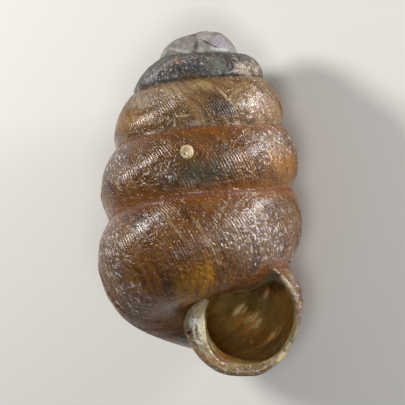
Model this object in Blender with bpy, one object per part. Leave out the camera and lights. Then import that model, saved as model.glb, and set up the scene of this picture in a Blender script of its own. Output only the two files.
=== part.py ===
"""Shell of a minute land snail, one piece, lying on its back with its mouth turned up.

The shell is first grown around its own upright axis, apex up, in millimetres: X to the right as one
faces the mouth, Y away from the viewer. It is then laid down and written in metres.
"""

import math

import bmesh
import bpy
from mathutils import Matrix, Vector

# Growth of the whorls, one row for each half whorl from the apex, in millimetres. Depths count down
# from the apex. The periphery is the widest line of a whorl, the suture the groove at its top.
# periphery radius, periphery depth, suture radius, suture depth
GROWTH = (
    (0.210, 0.100, 0.000, 0.005),
    (0.340, 0.190, 0.083, 0.022),
    (0.455, 0.300, 0.205, 0.112),
    (0.575, 0.450, 0.338, 0.232),
    (0.660, 0.620, 0.445, 0.310),
    (0.760, 0.828, 0.560, 0.469),
    (0.825, 1.062, 0.645, 0.681),
    (0.890, 1.297, 0.740, 0.929),
    (0.920, 1.555, 0.800, 1.210),
    (0.929, 1.868, 0.833, 1.536),
    (0.929, 2.199, 0.828, 1.881),
    (0.957, 2.640, 0.810, 2.254),
    (0.957, 3.060, 0.791, 2.640),
    (0.957, 3.500, 0.773, 3.100),
)
ROWS_OF_GROWTH = 2  # rows of the table for one whorl
LAST_GROWTH = len(GROWTH) - 1.001  # just inside the table's last row
RIGHT_WHORL = 5.375  # whorl count at which the shell points to +X
ROWS_PER_WHORL = 36
MOUTH_ROW = 197  # rows from the apex to the lip
MOUTH_WHORL = MOUTH_ROW / ROWS_PER_WHORL
GROWTH_LINE_ROWS = 3  # rows that a growth line falls back between two sutures
GROWTH_LINE_BEND = 1.6  # exponent, above 1 the line falls back fastest at the upper suture
BAND_COLUMNS = 8
BASE_COLUMNS = 10
BASE_TURN = math.radians(-146)  # where the base meets the floor of the navel
SHOULDER = 1.3  # exponent of the upper outline at the sloping shoulder; 2 makes an ellipse
SHOULDER_WHORL = 1.875
SHOULDER_REACH = 0.42  # whorls to either side over which the outline becomes an ellipse again
BASE_FULLNESS = 3.2  # exponent of the rounded corner between base and navel
DOME_WHORLS = 1.6  # the first whorls are rounded off to a dome
NEAR_POLE = 0.999  # keeps a suture just short of a section's outermost point
WELD = 0.001  # joins the rows of a whorl to the next one

# The hollow inside
WALL = 0.045
CALLUS = 0.014  # glaze on the whorl that the mouth leans on
COLUMELLA_RADIUS = 0.066
HOLLOW_START = 1.0
HOLLOW_END_PAST_LIP = 0.06
HOLLOW_ROWS_PER_WHORL = 20
HOLLOW_SIDES = 16
HOLLOW_FULLNESS = 2.4
HOLLOW_MIDDLE = 0.2  # the rays start this share of the half width outside the whorl's middle
HOLLOW_FOREMOST = math.radians(60)  # the ray on which the hollow runs furthest ahead
CORNER_SHARPNESS = 9.0
HALVINGS = 30  # steps that find the wall along a ray

# The lip: how far it flares past the skin, along the mouth from the suture to the base
LIP_THICKNESS = 0.05
LIP_SIDES = 8
LIP_ROWS = 46
LIP_STEP = 0.1  # across the whorl, from one point of the line to the next
LIP_END = 1.75  # across the whorl, where the line leaves the base for the columella
LIP_PROBE = 0.02  # across the whorl, to either side of a point, for the line's direction
LINE_PROBE = 0.1  # the same along the finished line, in points
LIP_FLARES = ((0.0, 0.004), (0.6, 0.008), (1.0, 0.02), (1.3, 0.06), (1.5, 0.068), (1.75, 0.052))
# then up the columella: x, y, depth and half width of the broad, turned-over part
LIP_COLUMELLA = (
    (0.086, -0.045, 3.007, 0.062),
    (0.012, -0.075, 2.885, 0.078),
    (-0.033, -0.100, 2.720, 0.100),
    (0.036, -0.100, 2.600, 0.050),
    (0.100, -0.080, 2.500, 0.012),
)

# How the shell lies: on the backs of its widest whorls, where its weight keeps it, with the apex
# dipping and the mouth rolled to its own side
APEX_DIP = math.radians(8.8)
REST_ROLL = math.radians(24.5)
REST_FLAT_DEPTH = 0.006  # worn off where it touches the ground
MM = 0.001

COLOUR = (0.35, 0.20, 0.09, 1)
ROUGHNESS = 0.3
SHARP_ANGLE = math.radians(50)


def lerp(a, b, share):
    return a + (b - a) * share


def smooth(share):
    share = min(1.0, max(0.0, share))
    return share * share * (3 - 2 * share)


def signed_power(value, exponent):
    return math.copysign(abs(value) ** exponent, value)


def grown(whorl):
    """Periphery radius and height, suture radius and height at a whorl count, by a Catmull-Rom curve."""
    place = min(max(whorl * ROWS_OF_GROWTH, 0.0), LAST_GROWTH)
    row = int(place)
    t = place - row
    values = []
    for column in range(4):
        b, c = GROWTH[row][column], GROWTH[row + 1][column]
        a = GROWTH[row - 1][column] if row else 2 * b - c
        d = GROWTH[row + 2][column] if row + 2 < len(GROWTH) else 2 * c - b
        values.append(
            b
            + t * (c - a) / 2
            + t * t * (a - 2.5 * b + 2 * c - d / 2)
            + t * t * t * (1.5 * (b - c) + (d - a) / 2)
        )
    radius, depth, suture_radius, suture_depth = values
    return radius, -depth, suture_radius, -suture_depth


def direction(whorl):
    """The way the whorl points from the axis. A right-handed shell turns clockwise seen from its apex."""
    angle = math.tau * (RIGHT_WHORL - whorl)
    return Vector((math.cos(angle), math.sin(angle), 0))


def at(whorl, radius, height):
    return direction(whorl) * radius + Vector((0, 0, height))


class Section:
    """Outline of one whorl, cut from the axis outwards: two half ellipses, the upper one straightened
    where the shoulder slopes."""

    def __init__(self, whorl):
        radius, self.height, suture_radius, suture_height = grown(whorl)
        _, _, next_radius, next_height = grown(whorl + 1)
        self.half_width = radius / 2
        self.centre = radius - self.half_width
        self.shoulder = lerp(SHOULDER, 2.0, smooth(abs(whorl - SHOULDER_WHORL) / SHOULDER_REACH))
        self.top_turn = math.acos(signed_power(self.clamped(suture_radius), self.shoulder / 2))
        self.low_turn = -math.acos(self.clamped(next_radius))
        self.half_top = (suture_height - self.height) / math.sin(self.top_turn) ** (2 / self.shoulder)
        self.half_base = (self.height - next_height) / -math.sin(self.low_turn)

    def clamped(self, radius):
        return min(NEAR_POLE, max(-NEAR_POLE, (radius - self.centre) / self.half_width))

    def power(self, x, y, fullness):
        """Exponent of the outline in the quarter where x and y lie, measured from the centre."""
        if y > 0:
            return self.shoulder
        return fullness if x < 0 else 2.0

    def point(self, turn, fullness=BASE_FULLNESS):
        """Radius and height of the outline at a turn from the periphery, positive upwards."""
        power = self.power(math.cos(turn), math.sin(turn), fullness)
        x, y = (signed_power(value, 2 / power) for value in (math.cos(turn), math.sin(turn)))
        half = self.half_top if y > 0 else self.half_base
        return self.centre + self.half_width * x, self.height + half * y

    def floor(self, radius, grow):
        """Height of the lower side at a radius, for the outline moved out by grow."""
        x = min(1.0, abs(radius - self.centre) / (self.half_width + grow))
        return self.height - (self.half_base + grow) * math.sqrt(1 - x * x)

    def reach(self, radius, height, grow, fullness):
        """Under 1 inside the outline moved out by grow, over 1 outside it."""
        x = (radius - self.centre) / (self.half_width + grow)
        y = (height - self.height) / ((self.half_top if height > self.height else self.half_base) + grow)
        power = self.power(x, y, fullness)
        return (abs(x) ** power + abs(y) ** power) ** (1 / power)


def fall_back(across):
    """Growth line: whorls by which a point lags behind the suture. across is 0 at the suture, 1 at the
    line where the next whorl sits, 2 at the columella."""
    return GROWTH_LINE_ROWS / ROWS_PER_WHORL * (1 - (1 - min(across, 1.0)) ** GROWTH_LINE_BEND)


def skin(row, across):
    """Whorl, radius and height of the outside at a row of the growth and a place across the whorl."""
    whorl = row / ROWS_PER_WHORL - fall_back(across)
    _, _, suture_radius, suture_height = grown(whorl)
    _, _, next_radius, next_height = grown(whorl + 1)
    dome_radius = lerp(suture_radius, next_radius, across)
    dome_height = lerp(suture_height, next_height, across * across)
    if whorl <= 0:
        return whorl, dome_radius, dome_height
    section = Section(whorl)
    if across <= 1:
        turn = lerp(section.top_turn, section.low_turn, across)
    else:
        turn = lerp(section.low_turn, BASE_TURN, min(1.0, across - 1))
    radius, height = section.point(turn)
    if whorl < DOME_WHORLS:
        share = smooth(whorl / DOME_WHORLS)
        radius = lerp(dome_radius, radius, share)
        height = lerp(dome_height, height, share)
    return whorl, 0.0 if across > 2 else radius, height


def mapped_grid(bm, columns, rows, place):
    """A grid of quads whose points are put where place(column, row) says. Returns its points by column, row."""
    made = bmesh.ops.create_grid(bm, x_segments=columns, y_segments=rows, size=0.5)["verts"]
    points = {}
    for vert in made:
        key = (round((vert.co.x + 0.5) * columns), round((vert.co.y + 0.5) * rows))
        vert.co = place(*key)
        points[key] = vert
    return points


def fill_with_fan(bm, loop):
    face = bm.faces.new(loop)
    bmesh.ops.poke(bm, faces=[face])


def new_object(name, bm):
    bmesh.ops.recalc_face_normals(bm, faces=bm.faces)
    mesh = bpy.data.meshes.new(name)
    bm.to_mesh(mesh)
    bm.free()
    made = bpy.data.objects.new(name, mesh)
    bpy.context.scene.collection.objects.link(made)
    return made


def make_body():
    """The outside of the shell as one closed solid: a ribbon wound up from the apex, each turn's lower
    edge joined to the next turn's suture, with the base and a sheet that closes the mouth."""
    bm = bmesh.new()
    open_row = MOUTH_ROW - ROWS_PER_WHORL + GROWTH_LINE_ROWS
    base_rows = MOUTH_ROW - open_row
    top, bottom = (skin(row, 3)[2] for row in (open_row, MOUTH_ROW))

    def band(column, row):
        return at(*skin(row - ROWS_PER_WHORL, column / BAND_COLUMNS))

    def base(column, row):
        return at(*skin(open_row + row, 1 + column / BASE_COLUMNS))

    def sheet(column, row):
        share = (skin(open_row + row, 3)[2] - top) / (bottom - top)
        across = column / BAND_COLUMNS
        if across > 1:
            across = 1 + (column - BAND_COLUMNS) / BASE_COLUMNS
        inner = skin(open_row, max(1.0, across))
        outer = skin(MOUTH_ROW, across)
        return at(*(lerp(a, b, share) for a, b in zip((inner[0] + 1, inner[1], inner[2]), outer)))

    mapped_grid(bm, BAND_COLUMNS, MOUTH_ROW + ROWS_PER_WHORL, band)
    mapped_grid(bm, BASE_COLUMNS + 1, base_rows, base)
    mapped_grid(bm, BAND_COLUMNS + BASE_COLUMNS + 1, base_rows, sheet)
    bmesh.ops.remove_doubles(bm, verts=bm.verts, dist=WELD)
    bmesh.ops.dissolve_degenerate(bm, edges=bm.edges, dist=WELD)
    bmesh.ops.triangulate(bm, faces=bm.faces)
    return new_object("shell", bm)


def hollow_point(row_whorl, side):
    """A point of the hollow's wall, found along a ray from the middle of the whorl."""
    ray = math.tau * side / HOLLOW_SIDES
    lag = GROWTH_LINE_ROWS / ROWS_PER_WHORL * (0.5 - 0.5 * math.cos(ray - HOLLOW_FOREMOST))
    whorl = row_whorl - lag
    own, above = Section(whorl), Section(whorl - 1)
    middle_radius = own.centre + HOLLOW_MIDDLE * own.half_width
    middle_height = (own.floor(middle_radius, -WALL) + above.floor(middle_radius, CALLUS)) / 2

    def crowding(distance):
        radius = middle_radius + distance * math.cos(ray)
        height = middle_height + distance * math.sin(ray)
        if radius <= 0:
            return math.inf
        crowd = own.reach(radius, height, -WALL, HOLLOW_FULLNESS) ** CORNER_SHARPNESS
        crowd += (COLUMELLA_RADIUS / radius) ** CORNER_SHARPNESS
        if whorl > 1:
            crowd += above.reach(radius, height, CALLUS, BASE_FULLNESS) ** -CORNER_SHARPNESS
        return crowd

    near, far = 0.0, 2 * own.half_base + own.half_width
    for _ in range(HALVINGS):
        middle = (near + far) / 2
        if crowding(middle) < 1:
            near = middle
        else:
            far = middle
    return at(whorl, middle_radius + near * math.cos(ray), middle_height + near * math.sin(ray))


def make_hollow():
    bm = bmesh.new()
    rows = round((MOUTH_WHORL + HOLLOW_END_PAST_LIP - HOLLOW_START) * HOLLOW_ROWS_PER_WHORL)

    def place(side, row):
        share = row / rows
        whorl = lerp(HOLLOW_START, MOUTH_WHORL + HOLLOW_END_PAST_LIP, share)
        return hollow_point(whorl, side % HOLLOW_SIDES)

    points = mapped_grid(bm, HOLLOW_SIDES, rows, place)
    for row in (0, rows):
        fill_with_fan(bm, [points[side, row] for side in range(HOLLOW_SIDES)])
    bmesh.ops.remove_doubles(bm, verts=bm.verts, dist=WELD)
    bmesh.ops.triangulate(bm, faces=bm.faces)
    return new_object("hollow", bm)


def lip_flare(across):
    for (low, flare), (high, next_flare) in zip(LIP_FLARES, LIP_FLARES[1:]):
        if across <= high:
            return lerp(flare, next_flare, (across - low) / (high - low))
    return LIP_FLARES[-1][1]


def lip_line():
    """Middle line of the lip with its half widths: along the last growth line, then up the columella."""
    line = []
    across = LIP_STEP
    while across < LIP_END:
        whorl, radius, height = skin(MOUTH_ROW, across)
        here = at(whorl, radius, height)
        ahead, behind = (at(*skin(MOUTH_ROW, across + side * LIP_PROBE)) for side in (1, -1))
        along = (ahead - behind).normalized()
        out = forward_at(whorl).cross(along).normalized()
        flare = lip_flare(across)
        line.append((here + out * (flare - WALL) / 2, (flare + WALL) / 2))
        across += LIP_STEP
    for x, y, depth, half_width in LIP_COLUMELLA:
        line.append((Vector((x, y, -depth)), half_width))
    return line


def forward_at(whorl):
    return direction(whorl).cross(Vector((0, 0, 1)))


def make_lip():
    """The turned-out edge of the mouth: a rounded strip along the lip line."""
    bm = bmesh.new()
    line = lip_line()
    forward = forward_at(MOUTH_WHORL - fall_back(1))

    def on_line(place):
        index = min(int(place), len(line) - 2)
        t = place - index
        rows = [line[min(max(index + k, 0), len(line) - 1)] for k in (-1, 0, 1, 2)]
        weights = (
            (-t + 2 * t * t - t**3) / 2,
            (2 - 5 * t * t + 3 * t**3) / 2,
            (t + 4 * t * t - 3 * t**3) / 2,
            (t**3 - t * t) / 2,
        )
        middle = sum((w * row[0] for w, row in zip(weights, rows)), Vector())
        return middle, sum(w * row[1] for w, row in zip(weights, rows))

    def place(side, row):
        where = (len(line) - 1) * row / LIP_ROWS
        middle, half_width = on_line(where)
        ahead, _ = on_line(min(where + LINE_PROBE, len(line) - 1))
        behind, _ = on_line(max(where - LINE_PROBE, 0))
        along = (ahead - behind).normalized()
        out = forward.cross(along).normalized()
        front = along.cross(out)
        turn = math.tau * (side % LIP_SIDES) / LIP_SIDES
        return middle + out * half_width * math.cos(turn) + front * LIP_THICKNESS / 2 * math.sin(turn)

    points = mapped_grid(bm, LIP_SIDES, LIP_ROWS, place)
    for row in (0, LIP_ROWS):
        fill_with_fan(bm, [points[side, row] for side in range(LIP_SIDES)])
    bmesh.ops.remove_doubles(bm, verts=bm.verts, dist=WELD)
    bmesh.ops.triangulate(bm, faces=bm.faces)
    return new_object("lip", bm)


def combine(target, other, operation):
    modifier = target.modifiers.new(operation.lower(), "BOOLEAN")
    modifier.operation = operation
    modifier.object = other
    modifier.solver = "EXACT"
    graph = bpy.context.evaluated_depsgraph_get()
    mesh = bpy.data.meshes.new_from_object(target.evaluated_get(graph))
    target.modifiers.clear()
    target.data = mesh
    bpy.data.objects.remove(other)


def lay_down(mesh):
    """Turn the upright shell onto its back, give it its resting flat, centre it and write it in metres."""
    bm = bmesh.new()
    bm.from_mesh(mesh)
    turned = Matrix.Rotation(REST_ROLL, 4, "Y") @ Matrix.Rotation(math.radians(-90) - APEX_DIP, 4, "X")
    bmesh.ops.transform(bm, matrix=turned, verts=bm.verts)
    ground = min(vert.co.z for vert in bm.verts) + REST_FLAT_DEPTH
    parts = bm.verts[:] + bm.edges[:] + bm.faces[:]
    bmesh.ops.bisect_plane(
        bm, geom=parts, plane_co=(0, 0, ground), plane_no=(0, 0, 1), dist=WELD / 10, clear_inner=True
    )
    bmesh.ops.holes_fill(bm, edges=[edge for edge in bm.edges if edge.is_boundary], sides=0)
    bmesh.ops.triangulate(bm, faces=bm.faces)
    spans = [(min(v.co[k] for v in bm.verts), max(v.co[k] for v in bm.verts)) for k in range(2)]
    middle = [sum(span) / 2 for span in spans]
    bmesh.ops.translate(bm, vec=(-middle[0], -middle[1], -ground), verts=bm.verts)
    bmesh.ops.scale(bm, vec=(MM, MM, MM), verts=bm.verts)
    bm.to_mesh(mesh)
    bm.free()


def main():
    for thing in list(bpy.data.objects):
        bpy.data.objects.remove(thing)
    shell = make_body()
    combine(shell, make_lip(), "UNION")
    combine(shell, make_hollow(), "DIFFERENCE")
    lay_down(shell.data)
    material = bpy.data.materials.new("shell")
    material.use_nodes = True
    shader = material.node_tree.nodes["Principled BSDF"]
    shader.inputs["Base Color"].default_value = COLOUR
    shader.inputs["Roughness"].default_value = ROUGHNESS
    shell.data.materials.clear()
    shell.data.materials.append(material)
    shell.data.set_sharp_from_angle(angle=SHARP_ANGLE)


main()
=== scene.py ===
# %% [markdown]
# # A minute snail shell
#
# The real object is the empty shell of a land snail about three millimetres high. A snail grows its
# shell by adding a little to the rim of the mouth, day after day, so the whole surface is one ribbon
# that winds down from the tip. This lesson grows the shell in the same way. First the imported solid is
# loaded as the frame that everything has to fit.

# %% Load the frame
import math
import random
import time

import bmesh
import bpy
from mathutils import Matrix, Vector, noise
from mathutils.bvhtree import BVHTree


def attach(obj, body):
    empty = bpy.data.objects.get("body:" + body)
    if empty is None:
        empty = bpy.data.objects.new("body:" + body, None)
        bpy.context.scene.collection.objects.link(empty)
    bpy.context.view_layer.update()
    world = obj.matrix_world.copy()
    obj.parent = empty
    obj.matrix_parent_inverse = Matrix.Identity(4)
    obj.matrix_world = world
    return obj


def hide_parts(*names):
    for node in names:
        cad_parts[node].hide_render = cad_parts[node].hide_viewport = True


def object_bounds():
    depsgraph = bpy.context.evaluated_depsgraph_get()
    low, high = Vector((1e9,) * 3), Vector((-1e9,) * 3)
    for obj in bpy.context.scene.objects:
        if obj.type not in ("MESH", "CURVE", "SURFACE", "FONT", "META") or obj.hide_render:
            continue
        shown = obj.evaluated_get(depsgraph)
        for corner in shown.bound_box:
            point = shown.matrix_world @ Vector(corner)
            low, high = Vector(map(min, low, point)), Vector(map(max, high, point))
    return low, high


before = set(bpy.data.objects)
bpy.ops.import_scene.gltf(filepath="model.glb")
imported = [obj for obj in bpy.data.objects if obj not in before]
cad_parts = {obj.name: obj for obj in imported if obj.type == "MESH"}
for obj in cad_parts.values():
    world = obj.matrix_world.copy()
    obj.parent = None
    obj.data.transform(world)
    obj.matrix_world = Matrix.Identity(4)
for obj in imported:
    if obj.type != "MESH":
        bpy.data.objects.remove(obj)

cad_low, cad_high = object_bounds()
started = time.time()
print("frame box in mm", [round(side * 1000, 3) for side in cad_high - cad_low])

# %% [markdown]
# ## How the shell grew
#
# Each row describes the snail at one half whorl: how wide the whorl was, how far down its widest line
# lay, and where its upper seam, the suture, ran. A smooth curve through the rows gives every stage in
# between. Four columns of numbers are easier to correct than a sculpted mesh: a whorl that is too fat is
# one number that is too large. Lengths are in millimetres until the very end.

# %% Growth table
# periphery radius, periphery depth below the apex, suture radius, suture depth
GROWTH = (
    (0.210, 0.100, 0.000, 0.005),
    (0.340, 0.190, 0.083, 0.022),
    (0.455, 0.300, 0.205, 0.112),
    (0.575, 0.450, 0.338, 0.232),
    (0.660, 0.620, 0.445, 0.310),
    (0.760, 0.828, 0.560, 0.469),
    (0.825, 1.062, 0.645, 0.681),
    (0.890, 1.297, 0.740, 0.929),
    (0.920, 1.555, 0.800, 1.210),
    (0.929, 1.868, 0.833, 1.536),
    (0.929, 2.199, 0.828, 1.881),
    (0.957, 2.640, 0.810, 2.254),
    (0.957, 3.060, 0.791, 2.640),
    (0.957, 3.500, 0.773, 3.100),
)
ROWS_OF_GROWTH = 2
RIGHT_WHORL = 5.375
MOUTH_WHORL = 197 / 36
BASE_TURN = math.radians(-146)
BASE_FULLNESS = 3.2
SHOULDER = 1.3
SHOULDER_WHORL = 1.875
SHOULDER_REACH = 0.42
DOME_WHORLS = 1.6
LAG_WHORLS = 3 / 36


def lerp(a, b, share):
    return a + (b - a) * share


def smooth(low, high, value):
    share = min(1.0, max(0.0, (value - low) / (high - low)))
    return share * share * (3 - 2 * share)


def signed_power(value, exponent):
    return math.copysign(abs(value) ** exponent, value)


def catmull(t):
    """Weights of four neighbours for a smooth curve between the middle two."""
    return (
        (-t + 2 * t * t - t**3) / 2,
        (2 - 5 * t * t + 3 * t**3) / 2,
        (t + 4 * t * t - 3 * t**3) / 2,
        (t**3 - t * t) / 2,
    )


def grown(whorl):
    """Periphery radius and height, suture radius and height after so many whorls."""
    place = min(max(whorl * ROWS_OF_GROWTH, 0.0), len(GROWTH) - 1.001)
    row = int(place)
    b, c = GROWTH[row], GROWTH[row + 1]
    a = GROWTH[row - 1] if row else [2 * p - q for p, q in zip(b, c)]
    d = GROWTH[row + 2] if row + 2 < len(GROWTH) else [2 * q - p for p, q in zip(b, c)]
    w = catmull(place - row)
    radius, depth, suture_radius, suture_depth = (
        w[0] * p + w[1] * q + w[2] * r + w[3] * s for p, q, r, s in zip(a, b, c, d)
    )
    return radius, -depth, suture_radius, -suture_depth


def direction(whorl):
    """A right-handed shell turns clockwise when it is seen from its apex."""
    angle = math.tau * (RIGHT_WHORL - whorl)
    return Vector((math.cos(angle), math.sin(angle), 0))


def at(whorl, radius, height):
    return direction(whorl) * radius + Vector((0, 0, height))


print("height from apex to base", round(-grown(MOUTH_WHORL + 1)[3], 3), "mm")

# %% [markdown]
# ## One whorl, cut through
#
# Cut from the axis outwards, a whorl is close to an ellipse. Its upper and lower halves differ in
# height, because the widest line sits where the photo shows it and the next suture fixes the rest. Two
# half ellipses with a shared centre do that with no more numbers than the growth table has. Where the
# second whorl slopes more than an ellipse does, its upper half gets a lower exponent.

# %% Section of a whorl


class Section:
    def __init__(self, whorl):
        radius, self.height, suture_radius, suture_height = grown(whorl)
        _, _, next_radius, next_height = grown(whorl + 1)
        self.half_width = radius / 2
        self.centre = radius - self.half_width
        self.shoulder = lerp(SHOULDER, 2.0, smooth(0, SHOULDER_REACH, abs(whorl - SHOULDER_WHORL)))
        self.top_turn = math.acos(signed_power(self.clamped(suture_radius), self.shoulder / 2))
        self.low_turn = -math.acos(self.clamped(next_radius))
        self.half_top = (suture_height - self.height) / math.sin(self.top_turn) ** (2 / self.shoulder)
        self.half_base = (self.height - next_height) / -math.sin(self.low_turn)

    def clamped(self, radius):
        return min(0.999, max(-0.999, (radius - self.centre) / self.half_width))

    def power(self, x, y, fullness):
        """Exponent of the outline in the quarter where x and y lie, measured from the centre."""
        if y > 0:
            return self.shoulder
        return fullness if x < 0 else 2.0

    def point(self, turn, grow=0.0):
        """Radius and height at a turn from the periphery, moved out of the surface by grow."""
        power = self.power(math.cos(turn), math.sin(turn), BASE_FULLNESS)
        x, y = (signed_power(value, 2 / power) for value in (math.cos(turn), math.sin(turn)))
        half = self.half_top if y > 0 else self.half_base
        slope = math.hypot(x * half, y * self.half_width)
        return (
            self.centre + self.half_width * x + grow * x * half / slope,
            self.height + half * y + grow * y * self.half_width / slope,
        )

    def floor(self, radius, grow):
        x = min(1.0, abs(radius - self.centre) / (self.half_width + grow))
        return self.height - (self.half_base + grow) * math.sqrt(1 - x * x)

    def reach(self, radius, height, grow, fullness):
        """Under 1 inside the outline moved out by grow, over 1 outside it."""
        x = (radius - self.centre) / (self.half_width + grow)
        y = (height - self.height) / ((self.half_top if height > self.height else self.half_base) + grow)
        power = self.power(x, y, fullness)
        return (abs(x) ** power + abs(y) ** power) ** (1 / power)


print("mouth", round(2 * Section(MOUTH_WHORL).half_width, 3), "mm wide")

# %% [markdown]
# ## Riblets
#
# The growth lines stand up as fine, regular riblets that cross each whorl from suture to suture and
# lean back as they go down. A bump map would do from afar, but here they are real ridges, one for every
# few rows of the mesh, so that the outline is finely toothed as well. The tip of the shell, which grew
# inside the egg, is smooth.

# %% Relief of the outside
ROWS_PER_WHORL = 720
BAND_COLUMNS = 14
BASE_COLUMNS = 14
RIBLET_HEIGHT = 0.0065
RIBLET_ROWS = 4
RIBLETS_START = 1.35
GLAZE_WHORLS = 0.30
UNEVEN = 0.010
BASE_FADE = (1.7, 1.95)
RIBLET_STRENGTHS = 2000
HIGH_RIBLETS = 46
HIGH_RIBLET_STRENGTH = 1.9
chance = random.Random(7)
riblet_strength = [0.55 + 0.6 * chance.random() for _ in range(RIBLET_STRENGTHS)]
for _ in range(HIGH_RIBLETS):
    riblet_strength[chance.randrange(RIBLET_STRENGTHS)] = HIGH_RIBLET_STRENGTH

mouth_row = round(MOUTH_WHORL * ROWS_PER_WHORL)
lag_rows = round(LAG_WHORLS * ROWS_PER_WHORL)
open_row = mouth_row - ROWS_PER_WHORL + lag_rows
print("riblets", round(mouth_row - RIBLETS_START * ROWS_PER_WHORL) // RIBLET_ROWS)


def glaze(whorl, across):
    """1 on the smooth patch beside the mouth, where the snail's body wore and coated the old whorl."""
    beside = 1 - smooth(0.6, 1.0, (whorl - MOUTH_WHORL + 1) / GLAZE_WHORLS)
    return beside * smooth(0.72, 0.9, across)


def covered(row):
    """1 where the next whorl sits on this one's lower edge, 0 on the last, uncovered whorl."""
    return 1 - smooth(open_row, open_row + ROWS_PER_WHORL / 8, row)


def relief(row, whorl, across):
    """How far the outside stands proud of the plain whorl there."""
    riblet, step = divmod(row, RIBLET_ROWS)
    crest = (0.0, 0.6, 1.0, 0.45)[step]
    fade = smooth(0.0, 0.05, across) * (1 - smooth(*BASE_FADE, across))
    fade *= 1 - covered(row) * smooth(0.92, 1.0, across)
    beads = noise.noise(Vector((riblet * 0.7, across * 14, 3)))
    beads += noise.noise(Vector((riblet * 0.1, across * 4, 9)))
    height = RIBLET_HEIGHT * crest * riblet_strength[riblet % RIBLET_STRENGTHS] * (0.8 + 0.6 * beads)
    return height * fade * smooth(RIBLETS_START, RIBLETS_START + 0.5, whorl) * (1 - glaze(whorl, across))


def unevenness(point):
    """Slow dents and swellings of a shell that is no machine part."""
    return UNEVEN * (noise.noise(point * 2.2) * 0.7 + noise.noise(point * 6.5) * 0.3)


def fall_back(whorl, across):
    """Growth line: how many whorls a point lags behind the suture."""
    lag = LAG_WHORLS * (1 - (1 - min(across, 1.0)) ** 1.6)
    wave = 0.004 * noise.noise(Vector((whorl * 3, across * 2, 0)))
    return lag + wave * 4 * across * (1 - across) if across < 1 else lag


def skin(row, across, relieved=True):
    """Whorl, radius and height of the outside at a row of the growth and a place across the whorl."""
    row_whorl = row / ROWS_PER_WHORL
    whorl = row_whorl - fall_back(row_whorl, across)
    _, _, suture_radius, suture_height = grown(whorl)
    _, _, next_radius, next_height = grown(whorl + 1)
    dome_radius = lerp(suture_radius, next_radius, across)
    dome_height = lerp(suture_height, next_height, across * across)
    if whorl <= 0:
        return whorl, dome_radius, dome_height
    section = Section(whorl)
    if across <= 1:
        turn = lerp(section.top_turn, section.low_turn, across)
    else:
        turn = lerp(section.low_turn, BASE_TURN, min(1.0, across - 1))
    out = 0.0
    if relieved:
        hold = smooth(0.0, 0.12, across) * (1 - covered(row) * smooth(0.88, 1.0, across))
        hold *= 1 - smooth(*BASE_FADE, across)
        out = relief(row, whorl, across) + hold * unevenness(at(whorl, *section.point(turn)))
    radius, height = section.point(turn, out)
    if whorl < DOME_WHORLS:
        share = smooth(0, DOME_WHORLS, whorl)
        radius = lerp(dome_radius, radius, share)
        height = lerp(dome_height, height, share)
    return whorl, 0.0 if across > 2 else radius, height


# %% [markdown]
# ## The wound ribbon
#
# A flat grid is the start: one direction of it runs along the growth, the other across the whorl from
# the upper suture to the lower one. Every point is then moved to where the growth puts it. The lower
# edge of one turn falls on the upper edge of the next, so merging the doubles sews the spiral shut. The
# grid's two directions are kept as a UV map, because a colour that follows the growth needs them.

# %% Helpers for grown meshes
SEW = 0.00002
POINT_SEW = 0.004


def mapped_grid(bm, columns, rows, place, mapping, material=0):
    """A grid whose points go where place(column, row) says. Returns the points by column and row."""
    made = bmesh.ops.create_grid(bm, x_segments=columns, y_segments=rows, size=0.5)["verts"]
    points, keys = {}, {}
    for vert in made:
        key = (round((vert.co.x + 0.5) * columns), round((vert.co.y + 0.5) * rows))
        points[key] = vert
        keys[vert] = key
    layer = bm.loops.layers.uv.get("growth") or bm.loops.layers.uv.new("growth")
    for face in {face for vert in made for face in vert.link_faces}:
        face.material_index = material
        face.smooth = True
        for loop in face.loops:
            loop[layer].uv = mapping(*keys[loop.vert])
    for vert, key in keys.items():
        vert.co = place(*key)
    return points


def add_object(name, data):
    made = bpy.data.objects.new(name, data)
    bpy.context.scene.collection.objects.link(made)
    return made


def object_of(name, bm):
    bmesh.ops.recalc_face_normals(bm, faces=bm.faces)
    mesh = bpy.data.meshes.new(name)
    bm.to_mesh(mesh)
    bm.free()
    print(name, len(mesh.polygons), "faces,", round(time.time() - started, 1), "s")
    return add_object(name, mesh)


# %% Grow the outside
SKIN, LIP, INSIDE = range(3)


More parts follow.
